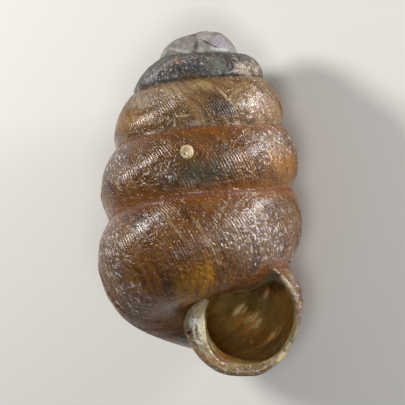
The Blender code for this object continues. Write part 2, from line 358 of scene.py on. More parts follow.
def grow_outside():
    bm = bmesh.new()
    base_rows = mouth_row - open_row
    top, bottom = (skin(row, 3)[2] for row in (open_row, mouth_row))

    def band(column, row):
        return at(*skin(row - ROWS_PER_WHORL, column / BAND_COLUMNS))

    def band_uv(column, row):
        return (row / ROWS_PER_WHORL - 1, column / BAND_COLUMNS)

    def base(column, row):
        return at(*skin(open_row + row, 1 + column / BASE_COLUMNS))

    def base_uv(column, row):
        return ((open_row + row) / ROWS_PER_WHORL, 1 + column / BASE_COLUMNS)

    def sheet(column, row):
        share = (skin(open_row + row, 3)[2] - top) / (bottom - top)
        across = column / BAND_COLUMNS
        if across > 1:
            across = 1 + (column - BAND_COLUMNS) / BASE_COLUMNS
        inner = skin(open_row, max(1.0, across))
        outer = skin(mouth_row, across)
        return at(*(lerp(a, b, share) for a, b in zip((inner[0] + 1, inner[1], inner[2]), outer)))

    def sheet_uv(column, row):
        return (MOUTH_WHORL + row / ROWS_PER_WHORL, column / BAND_COLUMNS)

    mapped_grid(bm, BAND_COLUMNS, mouth_row + ROWS_PER_WHORL, band, band_uv, SKIN)
    mapped_grid(bm, BASE_COLUMNS + 1, base_rows, base, base_uv, SKIN)
    mapped_grid(bm, BAND_COLUMNS + BASE_COLUMNS + 1, base_rows, sheet, sheet_uv, INSIDE)
    bmesh.ops.remove_doubles(bm, verts=bm.verts, dist=SEW)
    for tip in (at(*skin(0, 0)), at(*skin(mouth_row, 0))):
        crowd = [vert for vert in bm.verts if (vert.co - tip).length < POINT_SEW]
        bmesh.ops.pointmerge(bm, verts=crowd, merge_co=tip)
    open_edges = sum(not edge.is_manifold for edge in bm.edges)
    print("open edges of the outside", open_edges)
    return object_of("shell_outside", bm)


outside = grow_outside()

# %% [markdown]
# ## The room inside
#
# The shell is a thin wall round a coiled tube. Solidify can't make that wall, because neighbouring turns
# share it. Instead the tube's own air is grown as a second solid: from the middle of each whorl a fan of
# rays runs out until it comes within a wall's thickness of the outside, of the whorl above or of the
# pillar in the middle. Three smooth distances added with a high power round off the corners.

# %% Grow the hollow
WALL = 0.045
CALLUS = 0.014
COLUMELLA_RADIUS = 0.066
HOLLOW_START = 1.0
HOLLOW_END_PAST_LIP = 0.06
HOLLOW_ROWS_PER_WHORL = 48
HOLLOW_SIDES = 40
HOLLOW_FULLNESS = 2.4
CORNER_SHARPNESS = 9.0
HALVINGS = 22


def hollow_point(row_whorl, side):
    ray = math.tau * side / HOLLOW_SIDES
    whorl = row_whorl - LAG_WHORLS * (0.5 - 0.5 * math.cos(ray - math.radians(60)))
    own, above = Section(whorl), Section(whorl - 1)
    middle_radius = own.centre + 0.2 * own.half_width
    middle_height = (own.floor(middle_radius, -WALL) + above.floor(middle_radius, CALLUS)) / 2
    near, far = 0.0, 2 * own.half_base + own.half_width
    for _ in range(HALVINGS):
        middle = (near + far) / 2
        radius = middle_radius + middle * math.cos(ray)
        height = middle_height + middle * math.sin(ray)
        crowd = math.inf
        if radius > 0:
            crowd = own.reach(radius, height, -WALL, HOLLOW_FULLNESS) ** CORNER_SHARPNESS
            crowd += (COLUMELLA_RADIUS / radius) ** CORNER_SHARPNESS
            if whorl > 1:
                crowd += above.reach(radius, height, CALLUS, BASE_FULLNESS) ** -CORNER_SHARPNESS
        near, far = (middle, far) if crowd < 1 else (near, middle)
    return at(whorl, middle_radius + near * math.cos(ray), middle_height + near * math.sin(ray))


def grow_tube(name, sides, rows, place, mapping, material):
    """A closed solid from a grid whose two sides meet, with a fan of faces over each end."""
    bm = bmesh.new()
    points = mapped_grid(bm, sides, rows, place, mapping, material)
    for row in (0, rows):
        face = bm.faces.new([points[side, row] for side in range(sides)])
        for made in bmesh.ops.poke(bm, faces=[face])["faces"]:
            made.material_index = material
            made.smooth = True
    bmesh.ops.remove_doubles(bm, verts=bm.verts, dist=SEW)
    return object_of(name, bm)


def grow_hollow():
    last = MOUTH_WHORL + HOLLOW_END_PAST_LIP
    rows = round((last - HOLLOW_START) * HOLLOW_ROWS_PER_WHORL)

    def place(side, row):
        return hollow_point(lerp(HOLLOW_START, last, row / rows), side % HOLLOW_SIDES)

    def mapping(side, row):
        return (lerp(HOLLOW_START, last, row / rows), side / HOLLOW_SIDES)

    return grow_tube("hollow", HOLLOW_SIDES, rows, place, mapping, INSIDE)


hollow = grow_hollow()

# %% [markdown]
# ## The lip
#
# When the snail is full grown it turns the rim of the mouth outwards. On the side of the pillar the rim
# is broad and folded back over the navel, on the outer side it is a narrow bead. The lip is a strip with
# an elliptical section that follows the last growth line and then climbs the pillar, along a smooth
# curve through a list of middle points and half widths.

# %% Turn out the lip
LIP_THICKNESS = 0.05
LIP_SIDES = 18
LIP_ROWS = 170
LIP_STEP = 0.1
LIP_FLARES = ((0.0, 0.004), (0.6, 0.008), (1.0, 0.02), (1.3, 0.06), (1.5, 0.068), (1.75, 0.052))
# x, y, depth and half width
LIP_COLUMELLA = (
    (0.086, -0.045, 3.007, 0.062),
    (0.012, -0.075, 2.885, 0.078),
    (-0.033, -0.100, 2.720, 0.100),
    (0.000, -0.104, 2.600, 0.070),
    (0.074, -0.088, 2.500, 0.028),
)
LIP_GRIT = 0.0035


def lip_flare(across):
    for (low, flare), (high, next_flare) in zip(LIP_FLARES, LIP_FLARES[1:]):
        if across <= high:
            return lerp(flare, next_flare, (across - low) / (high - low))
    return LIP_FLARES[-1][1]


def forward_at(whorl):
    return direction(whorl).cross(Vector((0, 0, 1)))


def lip_line():
    line = []
    across = LIP_STEP
    while across < LIP_FLARES[-1][0]:
        whorl, radius, height = skin(mouth_row, across, False)
        ahead, behind = (at(*skin(mouth_row, across + side * 0.02, False)) for side in (1, -1))
        out = forward_at(whorl).cross((ahead - behind).normalized()).normalized()
        flare = lip_flare(across)
        line.append((at(whorl, radius, height) + out * (flare - WALL) / 2, (flare + WALL) / 2))
        across += LIP_STEP
    return line + [(Vector((x, y, -depth)), half) for x, y, depth, half in LIP_COLUMELLA]


def make_lip():
    line = lip_line()
    forward = forward_at(MOUTH_WHORL - fall_back(MOUTH_WHORL, 1))

    def on_line(place):
        index = min(int(place), len(line) - 2)
        rows = [line[min(max(index + k, 0), len(line) - 1)] for k in (-1, 0, 1, 2)]
        weights = catmull(place - index)
        middle = sum((w * row[0] for w, row in zip(weights, rows)), Vector())
        return middle, sum(w * row[1] for w, row in zip(weights, rows))

    def place(side, row):
        where = (len(line) - 1) * row / LIP_ROWS
        middle, half_width = on_line(where)
        ahead, _ = on_line(min(where + 0.1, len(line) - 1))
        behind, _ = on_line(max(where - 0.1, 0))
        along = (ahead - behind).normalized()
        out = forward.cross(along).normalized()
        front = along.cross(out)
        turn = math.tau * (side % LIP_SIDES) / LIP_SIDES
        way = out * half_width * math.cos(turn) + front * LIP_THICKNESS / 2 * math.sin(turn)
        here = middle + way
        grit = noise.noise(here * 14) + 0.6 * noise.noise(here * 34)
        ridge = 0.008 * math.cos(5 * turn) * smooth(14, 18, where)
        return here + way.normalized() * (LIP_GRIT * grit + ridge)

    def mapping(side, row):
        return (row / LIP_ROWS, side / LIP_SIDES)

    return grow_tube("lip", LIP_SIDES, LIP_ROWS, place, mapping, LIP)


lip = make_lip()

# %% [markdown]
# ## One closed shell
#
# The lip is fused on and the hollow is cut out with exact Booleans. Both are evaluated at once and
# their result kept as a plain mesh, so the pieces need no modifiers afterwards. The three meshes carry
# the same three material slots, and each face keeps its own through the cut.

# %% Fuse the lip, cut the hollow
materials = [bpy.data.materials.new(name) for name in ("shell_skin", "shell_lip", "shell_inside")]
for piece in (outside, lip, hollow):
    for material in materials:
        piece.data.materials.append(material)


def combine(target, other, operation):
    cut = target.modifiers.new(operation.lower(), "BOOLEAN")
    cut.operation, cut.object, cut.solver = operation, other, "EXACT"
    graph = bpy.context.evaluated_depsgraph_get()
    mesh = bpy.data.meshes.new_from_object(target.evaluated_get(graph))
    target.modifiers.clear()
    target.data = mesh
    bpy.data.objects.remove(other)
    print(operation, len(mesh.polygons), "faces,", round(time.time() - started, 1), "s")


combine(outside, lip, "UNION")
combine(outside, hollow, "DIFFERENCE")

# %% [markdown]
# ## Laid on its back
#
# So far the shell stood upright, in millimetres. Now it is turned to the pose it comes to rest in, moved
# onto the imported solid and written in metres. The turn goes into the mesh, not into the object, so that
# patterns on Object coordinates stay where they are.

# %% Lay the shell down on the frame
APEX_DIP = math.radians(8.8)
REST_ROLL = math.radians(24.5)
REST_FLAT_DEPTH = 0.006
MM = 0.001
turned = Matrix.Rotation(REST_ROLL, 4, "Y") @ Matrix.Rotation(math.radians(-90) - APEX_DIP, 4, "X")


def lay_down(mesh):
    """Turns, trims and places the mesh. Returns the matrix from upright millimetres to the row frame."""
    bm = bmesh.new()
    bm.from_mesh(mesh)
    bmesh.ops.transform(bm, matrix=turned, verts=bm.verts)
    ground = min(vert.co.z for vert in bm.verts) + REST_FLAT_DEPTH
    parts = bm.verts[:] + bm.edges[:] + bm.faces[:]
    bmesh.ops.bisect_plane(
        bm, geom=parts, plane_co=(0, 0, ground), plane_no=(0, 0, 1), dist=SEW / 10, clear_inner=True
    )
    bmesh.ops.holes_fill(bm, edges=[edge for edge in bm.edges if edge.is_boundary], sides=0)
    cad_middle = (cad_low + cad_high) / 2 / MM
    shift = []
    for axis in range(2):
        values = [vert.co[axis] for vert in bm.verts]
        shift.append(cad_middle[axis] - (min(values) + max(values)) / 2)
    settle = Matrix.Scale(MM, 4) @ Matrix.Translation((*shift, -ground))
    bmesh.ops.transform(bm, matrix=settle, verts=bm.verts)
    open_edges = sum(edge.is_boundary for edge in bm.edges)
    bm.to_mesh(mesh)
    bm.free()
    print("open edges", open_edges, "moved by", [round(value, 4) for value in shift])
    return settle @ turned


placed = lay_down(outside.data)
shell = outside
shell.name = "shell_grown"
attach(shell, "root")
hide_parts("shell")
print("triangles", sum(len(face.vertices) - 2 for face in shell.data.polygons))

# %% [markdown]
# ## A ruler for the mouth's side
#
# Many marks on this shell belong to one place on the side that shows the mouth. They are easiest to give
# on a flat ruler held in front of that side: steps of 0.0092 mm, counted from the left and from the top.
# The ruler is fixed to the shell. It gives the camera its place as well.

# %% The ruler and the camera
STEP_MM = 0.0092
LOOK_UP = math.radians(6.5)
LEAN = math.radians(1.3)
FRAME_STEPS = 405
RULER_CENTRE = (201, 205)
CENTRE_DEPTH_MM = 1.619

turn_only = turned.to_3x3()
toward = turn_only @ Vector((0, -math.cos(LOOK_UP), -math.sin(LOOK_UP)))
apex_way = turn_only @ Vector((0, 0, 1))
up = (apex_way - toward * apex_way.dot(toward)).normalized()
up = Matrix.Rotation(LEAN, 3, toward) @ up
right = up.cross(toward)
ruler_origin = placed @ Vector((0, 0, -CENTRE_DEPTH_MM))
step = STEP_MM * MM


def on_ruler(x, y, depth=0.0):
    """The point of the row frame at a place of the ruler, so many steps behind the axis."""
    across, down = x - RULER_CENTRE[0], y - RULER_CENTRE[1]
    return ruler_origin + (right * across - up * down - toward * depth) * step


LENS = 500
camera_data = bpy.data.cameras.new("camera")
camera_data.lens = LENS
distance = LENS / camera_data.sensor_width * FRAME_STEPS * step
camera_data.clip_start, camera_data.clip_end = distance / 100, distance * 20
camera = add_object("camera", camera_data)
bpy.context.scene.camera = camera
facing = Matrix((right, up, toward)).transposed().to_4x4()
camera_place = on_ruler(FRAME_STEPS / 2, FRAME_STEPS / 2) + toward * distance
camera.matrix_world = Matrix.Translation(camera_place) @ facing
print("camera", round(distance / MM, 1), "mm away, looking", [round(value, 3) for value in toward])

# %% [markdown]
# ## A bead and some dirt
#
# A few loose things stick to the shell: one pale, flattened bead with a dimple in it, and a few grains of
# dirt by the mouth. Each starts as a sphere and is set down where a line from the ruler meets the shell,
# which a search tree over the shell's faces finds.

# %% Set down the bead and the grains
CLEAR_OF_SHELL = 400
surface = BVHTree.FromPolygons(
    [vert.co for vert in shell.data.vertices], [list(face.vertices) for face in shell.data.polygons]
)


def meet_shell(x, y):
    """Where a line straight back from the ruler meets the shell, and the surface's own direction there."""
    spot, normal, _, _ = surface.ray_cast(on_ruler(x, y, -CLEAR_OF_SHELL), -toward)
    return spot, normal


def finish_piece(name, bm, material):
    for face in bm.faces:
        face.smooth = True
    piece = object_of(name, bm)
    piece.data.materials.append(material)
    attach(piece, "root")


def seat(spot, normal, across, thick):
    """A matrix that lays a unit ball flat on the surface."""
    turn = normal.to_track_quat("Z", "Y").to_matrix().to_4x4()
    return Matrix.Translation(spot) @ turn @ Matrix.Diagonal((across, across, thick, 1))


BEAD_AT = (187, 153)
BEAD_RADIUS = 7.6 * step
DIMPLE_DEPTH = 0.85
bead_material = bpy.data.materials.new("bead")
bm = bmesh.new()
ball = bmesh.ops.create_uvsphere(bm, u_segments=40, v_segments=24, radius=1)["verts"]
for vert in ball:
    reach = math.hypot(vert.co.x, vert.co.y)
    lump = 1 + 0.06 * noise.noise(vert.co * 2.5)
    if vert.co.z > 0:
        vert.co.z -= DIMPLE_DEPTH * (1 - smooth(0.15, 0.72, reach))
    vert.co *= lump
bmesh.ops.transform(bm, matrix=seat(*meet_shell(*BEAD_AT), BEAD_RADIUS, BEAD_RADIUS * 0.5), verts=bm.verts)
finish_piece("bead", bm, bead_material)

# x, y and radius in steps of the ruler
GRAINS = (
    (290, 260, 2.4), (281, 256, 1.3), (212, 344, 1.2), (187, 330, 1.6), (236, 232, 1.2),
    (262, 221, 1.1), (246, 205, 1.0), (153, 201, 1.2), (172, 66, 1.6), (230, 132, 1.5),
)
grain_material = bpy.data.materials.new("grain")
bm = bmesh.new()
for index, (x, y, size) in enumerate(GRAINS):
    grain = bmesh.ops.create_icosphere(bm, subdivisions=3, radius=1)["verts"]
    for vert in grain:
        vert.co *= 1 + 0.35 * noise.noise(vert.co * 1.6 + Vector((index * 7, 0, 0)))
    bmesh.ops.transform(bm, matrix=seat(*meet_shell(x, y), size * step, size * step * 0.8), verts=grain)
finish_piece("grains", bm, grain_material)

# %% [markdown]
# ## Patterns as node groups
#
# Four kinds of pattern come back in the materials, so each is a node group with named inputs: streaks
# that follow the growth, mottling, the seams, and soft patches at places of the ruler. They give out
# masks only. What they colour is decided in each material. The patch turns its place with plain numbers.
# A Vector Rotate node would do the same, but the renderer then holds three values for each mark until
# the last one, and a material with a long list of marks comes out black.

# %% Helpers for nodes


def tone(red, green, blue, depth=1.0):
    """A colour as on a paint chart, 0 to 255, turned into light and thinned to a share of it."""
    parts = [part / 255 for part in (red, green, blue)]
    return (*(depth * (p / 12.92 if p < 0.04 else ((p + 0.055) / 1.055) ** 2.4) for p in parts), 1)


def node(tree, kind, inputs=(), **settings):
    made = tree.nodes.new(kind)
    for name, value in settings.items():
        setattr(made, name, value)
    for socket, value in dict(inputs).items():
        if isinstance(value, bpy.types.NodeSocket):
            tree.links.new(value, made.inputs[socket])
        else:
            made.inputs[socket].default_value = value
    return made


def maths(tree, operation, *values):
    return node(tree, "ShaderNodeMath", enumerate(values), operation=operation).outputs[0]


def times(tree, value, other):
    return maths(tree, "MULTIPLY", value, other)


def ramped(tree, value, low, high):
    """0 where the value is under low, 1 over high, with soft ends. Works downwards too."""
    inputs = {"Value": value, "From Min": low, "From Max": high}
    made = node(tree, "ShaderNodeMapRange", inputs, interpolation_type="SMOOTHSTEP", clamp=False)
    return made.outputs["Result"]


def mixed(tree, share, below, above, blend="MIX"):
    inputs = {0: share, 6: below, 7: above}
    return node(tree, "ShaderNodeMix", inputs, data_type="RGBA", blend_type=blend).outputs[2]


def painted(tree, colour, mask, strength, paint, blend="MIX"):
    """The colour with paint over it where the mask is 1, at a share or mask of strength."""
    return mixed(tree, times(tree, mask, strength), colour, paint, blend)


def roughen(tree, inputs, size, spread, least):
    """Mottled roughness, from least up to least plus spread."""
    rough = maths(tree, "MULTIPLY_ADD", mottled(tree, size, 0.3, 0.7, 8), spread, least)
    tree.links.new(rough, inputs["Roughness"])


def bumped(tree, inputs, height, distance, strength):
    bump = node(tree, "ShaderNodeBump", {"Height": height, "Distance": distance, "Strength": strength})
    tree.links.new(bump.outputs[0], inputs["Normal"])


def new_group(name, inputs):
    tree = bpy.data.node_groups.new(name, "ShaderNodeTree")
    for label, default in inputs.items():
        socket = tree.interface.new_socket(label, in_out="INPUT", socket_type="NodeSocketFloat")
        socket.default_value = default
    tree.interface.new_socket("Mask", in_out="OUTPUT", socket_type="NodeSocketFloat")
    return tree, tree.nodes.new("NodeGroupInput").outputs, tree.nodes.new("NodeGroupOutput").inputs


def give(tree, value, out):
    """Makes the value what the group gives out."""
    tree.links.new(value, out["Mask"])
    print(tree.name, len(tree.nodes), "nodes")


def noisy(tree, place, given, detail, roughness):
    """Noise at a place, 0 where it is under the group's low value and 1 over its high one."""
    inputs = {"Vector": place, "W": given["Seed"], "Scale": 1.0, "Detail": detail, "Roughness": roughness}
    value = node(tree, "ShaderNodeTexNoise", inputs, noise_dimensions="4D").outputs[0]
    return ramped(tree, value, given["Low"], given["High"])


def use(tree, group, **inputs):
    made = node(tree, "ShaderNodeGroup", node_tree=group)
    for name, value in inputs.items():
        socket = made.inputs[name.replace("_", " ")]
        if isinstance(value, bpy.types.NodeSocket):
            tree.links.new(value, socket)
        else:
            socket.default_value = value
    return made.outputs[0]


# %% Streaks along the growth
inputs = {"Along": 60, "Across": 1, "Low": 0.4, "High": 0.6, "Seed": 0}
streaks, given, out = new_group("growth_streaks", inputs)
growth = node(streaks, "ShaderNodeUVMap", uv_map="growth").outputs[0]
spread = node(streaks, "ShaderNodeCombineXYZ", {0: given["Along"], 1: given["Across"], 2: 1.0}).outputs[0]
place = node(streaks, "ShaderNodeVectorMath", {0: growth, 1: spread}, operation="MULTIPLY").outputs[0]
give(streaks, noisy(streaks, place, given, 3.0, 0.55), out)

# %% Mottling
mottle, given, out = new_group("mottle", {"Size": 0.1, "Low": 0.4, "High": 0.6, "Seed": 0, "Detail": 4})
place = node(mottle, "ShaderNodeTexCoord").outputs["Object"]
per_metre = maths(mottle, "DIVIDE", 1000.0, given["Size"])
place = node(mottle, "ShaderNodeVectorMath", {0: place, "Scale": per_metre}, operation="SCALE").outputs[0]
give(mottle, noisy(mottle, place, given, given["Detail"], 0.6), out)


def mottled(tree, size, low, high, seed, detail=4):
    """Mottling with a grain of so many millimetres, 0 where the noise is under low and 1 over high."""
    return use(tree, mottle, Size=size, Low=low, High=high, Seed=seed, Detail=detail)


# %% Seams between the whorls
SEAM_FADE_ROWS = 40
seams, given, out = new_group("seams", {"Above": 0.08, "Below": 0.06})
growth = node(seams, "ShaderNodeUVMap", uv_map="growth").outputs[0]
whorl, across, _ = node(seams, "ShaderNodeSeparateXYZ", {0: growth}).outputs
under_seam = ramped(seams, across, given["Below"], 0.0)
over_seam = ramped(seams, across, maths(seams, "SUBTRACT", 1.0, given["Above"]), 1.0)
covered_edge = ramped(seams, whorl, (open_row + SEAM_FADE_ROWS) / ROWS_PER_WHORL, open_row / ROWS_PER_WHORL)
over_seam = times(seams, over_seam, covered_edge)
give(seams, maths(seams, "MAXIMUM", under_seam, over_seam), out)

# %% Soft patches at a place of the ruler
PATCH_FADE = 40.0
patch_place = {"X": 200, "Y": 200, "Half width": 10, "Half height": 10, "Turn": 0}
patch, given, out = new_group("soft_patch", {**patch_place, "Edge": 0.4, "Ragged": 0.5, "Back": 30})
ruler_turn = Matrix((right, -up, -toward))
inputs = {
    "Vector": node(patch, "ShaderNodeTexCoord").outputs["Object"],
    "Scale": (1 / step,) * 3,
    "Rotation": ruler_turn.to_euler(),
    "Location": Vector((*RULER_CENTRE, 0)) - ruler_turn @ ruler_origin / step,
}
place = node(patch, "ShaderNodeMapping", inputs).outputs[0]
across, down, behind = node(patch, "ShaderNodeSeparateXYZ", {0: place}).outputs
across = maths(patch, "SUBTRACT", across, given["X"])
down = maths(patch, "SUBTRACT", down, given["Y"])
cosine, sine = (maths(patch, kind, given["Turn"]) for kind in ("COSINE", "SINE"))
along = maths(patch, "MULTIPLY_ADD", across, cosine, times(patch, down, sine))
aside = maths(patch, "SUBTRACT", times(patch, down, cosine), times(patch, across, sine))
along = maths(patch, "DIVIDE", along, given["Half width"])
aside = maths(patch, "DIVIDE", aside, given["Half height"])
reach = maths(patch, "SQRT", maths(patch, "MULTIPLY_ADD", along, along, times(patch, aside, aside)))
reach = maths(patch, "ADD", reach, maths(patch, "SUBTRACT", given["Ragged"], 0.5))
rim_out, rim_in = (maths(patch, kind, 1.0, given["Edge"]) for kind in ("ADD", "SUBTRACT"))
within = ramped(patch, reach, rim_out, rim_in)
front = ramped(patch, behind, given["Back"], maths(patch, "SUBTRACT", given["Back"], PATCH_FADE))
give(patch, times(patch, within, front), out)


def patch_mask(tree, ragged, x, y, half_width, half_height, turn=0.0, edge=0.8, back=30.0):
    """1 in a soft oval at a place of the ruler, turned by so many degrees."""
    return use(
        tree, patch, X=x, Y=y, Half_width=half_width, Half_height=half_height,
        Turn=math.radians(turn), Edge=edge, Ragged=ragged, Back=back,
    )


# %% [markdown]
# ## The skin
#
# Colours first follow the growth: chalky grey at the tip, blue-black where the whorl beneath it is
# weathered, then beige, amber and a grey golden brown. A ramp along the growth map paints every side of
# the shell at once, and large blotches break it up. The paints are thinned, because the shell lets light
# through.

# %% Colour along the growth
SKIN_DEPTH = 0.54
# whorls grown, colour
SKIN_COLOURS = (
    (0.0, (170, 164, 158)),
    (1.25, (156, 148, 138)),
    (1.6, (62, 68, 76)),
    (2.2, (104, 88, 58)),
    (2.5, (172, 138, 84)),
    (3.0, (158, 106, 42)),
    (3.6, (152, 98, 28)),
    (4.4, (148, 98, 34)),
    (5.0, (160, 100, 20)),
    (5.6, (144, 94, 28)),
)
WHORLS_IN_RAMP = 6.0


def start_material(material, **settings):
    """An empty material with a Principled shader whose constant values are set on its own sockets."""
    material.use_nodes = True
    tree = material.node_tree
    tree.nodes.clear()
    shader = node(tree, "ShaderNodeBsdfPrincipled")
    for name, value in settings.items():
        shader.inputs[name.replace("_", " ")].default_value = value
    target = node(tree, "ShaderNodeOutputMaterial")
    tree.links.new(shader.outputs[0], target.inputs[0])
    return tree, shader.inputs


tree, skin_inputs = start_material(
    materials[SKIN], Subsurface_Weight=0.25, Subsurface_Scale=0.00006, Subsurface_Radius=(1.0, 0.5, 0.22),
    Coat_Roughness=0.14, Specular_IOR_Level=0.5,
)
growth = node(tree, "ShaderNodeUVMap", uv_map="growth").outputs[0]
whorl = node(tree, "ShaderNodeSeparateXYZ", {0: growth}).outputs[0]
ramp = node(tree, "ShaderNodeValToRGB", {0: maths(tree, "DIVIDE", whorl, WHORLS_IN_RAMP)})
stops = ramp.color_ramp.elements
while len(stops) < len(SKIN_COLOURS):
    stops.new(0.5)
for stop, (grown_whorls, paint) in zip(stops, SKIN_COLOURS):
    stop.position = grown_whorls / WHORLS_IN_RAMP
    stop.color = tone(*paint, SKIN_DEPTH)
ragged = mottled(tree, 0.05, 0.2, 0.8, 3)
blotches = mottled(tree, 0.30, 0.48, 0.72, 1)
colour = mixed(tree, blotches, ramp.outputs[0], tone(98, 64, 16, SKIN_DEPTH))
print("colours along the growth", len(stops))

# %% [markdown]
# ## A weathered tip
#
# The tip is the oldest part and has lost its thin outer skin. It is chalky with brown stains, and the
# whorl below it is flecked blue-black and brown, with white flecks that are painted glints. All of these
# are mottling of other sizes.

# %% Weather the tip
# size of the grain in mm, paint, seed
# the pale flecks are painted glints; the blue-black and brown ones are the whorl's own colour
FLECKS = ((0.06, (24, 30, 44), 16), (0.045, (196, 204, 206), 17), (0.09, (104, 78, 44), 18))
FLECK_STRENGTH = 0.75
tip = ramped(tree, whorl, 1.5, 1.3)
chalk = times(tree, tip, mottled(tree, 0.10, 0.45, 0.62, 12))
colour = painted(tree, colour, chalk, 0.8, tone(232, 228, 224, 0.44))
stain = times(tree, tip, mottled(tree, 0.07, 0.52, 0.66, 14))
colour = painted(tree, colour, stain, 0.75, tone(84, 72, 64, 0.5))
weathered = times(tree, ramped(tree, whorl, 1.35, 1.5), ramped(tree, whorl, 2.35, 2.05))
for size, paint, seed in FLECKS:
    fleck = times(tree, weathered, mottled(tree, size, 0.54, 0.64, seed))
    colour = painted(tree, colour, fleck, FLECK_STRENGTH, tone(*paint, 0.6))
print("kinds of fleck", len(FLECKS))

# %% [markdown]
# ## Marks in one place
#
# Scars and stains lie where this one shell has them. The list also holds painted light: painted highlights
# and a painted sheen on the tip, painted glints on the second whorl, a painted highlight band and painted
# sheen on the flanks, and painted glows where light shines through the thin wall. Each is a soft oval at a
# place of the ruler, with a ragged edge. A list of marks is easy to read and to change.

# %% Set the marks on the skin
# x, y, half width, half height, turn in degrees, softness of the edge, paint, strength
SKIN_MARKS_AND_PAINTED_LIGHT = (
    (190, 46, 16, 12, -20, 0.7, (176, 172, 166), 0.4),
    # painted lilac sheen on the tip
    (219, 42, 10, 7, 20, 0.5, (196, 182, 198), 0.75),
    (205, 35, 12, 4, 0, 0.6, (214, 200, 190), 0.5),
    (191.5, 34.5, 4.5, 1.8, 10, 0.4, (92, 54, 28), 0.9),
    (196, 46, 2.2, 6, 12, 0.5, (46, 34, 30), 0.8),
    (209, 44, 9.5, 0.9, 27, 0.5, (60, 46, 42), 0.85),
    # painted white highlights along the lower edge of the tip
    (221, 50, 8, 1.2, 4, 0.9, (255, 255, 255), 0.75),
    (178, 50.5, 9, 1.1, 14, 0.9, (255, 255, 255), 0.65),
    (164, 70, 18, 8, -14, 0.5, (34, 40, 54), 0.8),
    (193, 64, 13, 8, -4, 0.5, (38, 48, 68), 0.8),
    (156, 73, 12, 5, -38, 0.9, (104, 124, 136), 0.6),
    (161, 77, 9, 2.6, -40, 0.7, (34, 42, 54), 0.7),
    # painted white glints on the second whorl
    (165, 66, 10, 1.7, -34, 0.9, (232, 240, 244), 0.85),
    (154, 76, 8, 1.7, -44, 0.9, (214, 228, 236), 0.85),
    (177, 62, 5, 4, -15, 0.5, (150, 96, 44), 0.9),
    (215, 65, 13, 10, 10, 0.5, (128, 132, 120), 0.85),
    (230, 66, 3.4, 3, 0, 0.4, (28, 34, 64), 0.8),
    (190, 79, 14, 4, -6, 0.6, (112, 84, 26), 0.85),
    (247, 70, 12, 8, 25, 0.5, (206, 188, 162), 0.9),
    (252, 73, 1.5, 5, -20, 0.4, (44, 36, 34), 0.8),
    (236, 82, 6, 1.2, 8, 0.5, (118, 44, 26), 0.7),
    (181, 90, 32, 6, -8, 0.6, (214, 184, 126), 0.8),
    (143, 104, 10, 6, -20, 0.5, (210, 192, 158), 0.8),
    (134, 121, 16, 9, -16, 0.6, (196, 136, 40), 0.8),
    (216, 108, 12, 11, 0, 0.7, (74, 50, 30), 0.6),
    (224, 96.5, 11.7, 1.2, 47, 0.5, (216, 192, 150), 0.85),
    (175, 123, 1.1, 5.5, 0, 0.4, (226, 204, 160), 0.85),
    (182.5, 117, 8, 1.0, -7, 0.4, (226, 204, 160), 0.85),
    (264, 110, 19, 14, 10, 0.6, (200, 160, 120), 0.7),
    (230, 131, 3.4, 2.4, 0, 0.4, (58, 26, 44), 0.8),
    # painted orange glow, where light shines through the thin wall
    (203, 157, 9, 10, 0, 0.7, (178, 104, 20), 0.85),
    (200, 172, 28, 15, -4, 0.9, (74, 66, 14), 0.9),
    # painted pale highlight band on the right of the fourth whorl
    (262, 140, 20, 9, 8, 0.7, (190, 164, 140), 0.5),
    (280, 163, 16, 12, 20, 0.6, (196, 134, 52), 0.75),
    (112, 165, 12, 24, 8, 0.9, (104, 74, 42), 0.4),
    (108, 185, 4, 10, 10, 0.6, (66, 48, 32), 0.7),
    (231, 191, 8, 5, 10, 0.6, (174, 78, 34), 0.7),
    (153, 208, 42, 1.8, -16, 0.5, (140, 50, 20), 0.7),
    (294, 308, 6, 34, -6, 0.5, (178, 174, 150), 0.8),
    (302, 312, 2.4, 34, -5, 0.5, (132, 66, 44), 0.8),
    # painted lilac-grey sheen on the left flank of the last whorl
    (119, 268, 13, 40, -4, 0.8, (146, 118, 88), 0.45),
    # painted silvery sheen on the upper right of the last whorl
    (256, 238, 36, 28, 12, 0.8, (176, 160, 146), 0.6),
    (176.5, 229.5, 22, 1.7, 47, 0.9, (204, 168, 112), 0.7),
    (199, 226.5, 12, 1.6, 55, 0.9, (204, 168, 112), 0.7),
    (212, 250, 18, 1.7, 65, 0.9, (212, 184, 140), 0.8),
    (223, 282, 13, 1.6, 100, 0.9, (212, 184, 140), 0.7),
    # painted amber glows above the mouth and beside the lip, where light shines through the wall
    (198, 281, 15, 20, 15, 0.8, (250, 178, 24), 0.9),
    (191, 302, 9, 7, 20, 0.7, (240, 156, 40), 0.9),
    (251, 282, 27, 12, -12, 0.6, (176, 106, 12), 0.85),
    (247, 289, 5, 2, -12, 0.5, (230, 204, 150), 0.8),
)


def add_marks(tree, colour, marks, ragged, depth=1.0, back=30.0):
    for *oval, turn, edge, paint, strength in marks:
        mask = patch_mask(tree, ragged, *oval, turn, edge, back)
        colour = painted(tree, colour, mask, strength, tone(*paint, depth))
    print("marks", len(marks))
    return colour


colour = add_marks(tree, colour, SKIN_MARKS_AND_PAINTED_LIGHT, ragged, SKIN_DEPTH)

# %% [markdown]
# ## Streaks and seams
#
# Growth stopped and started, which left broad and fine streaks along the rim of each day. They multiply
# the colour, so they show on every paint but the chalk. Every seam below the tip is darkened a little,
# and from the third whorl to the fifth the seams hold a broad orange zone and a thin, patchy brown line in
# it.

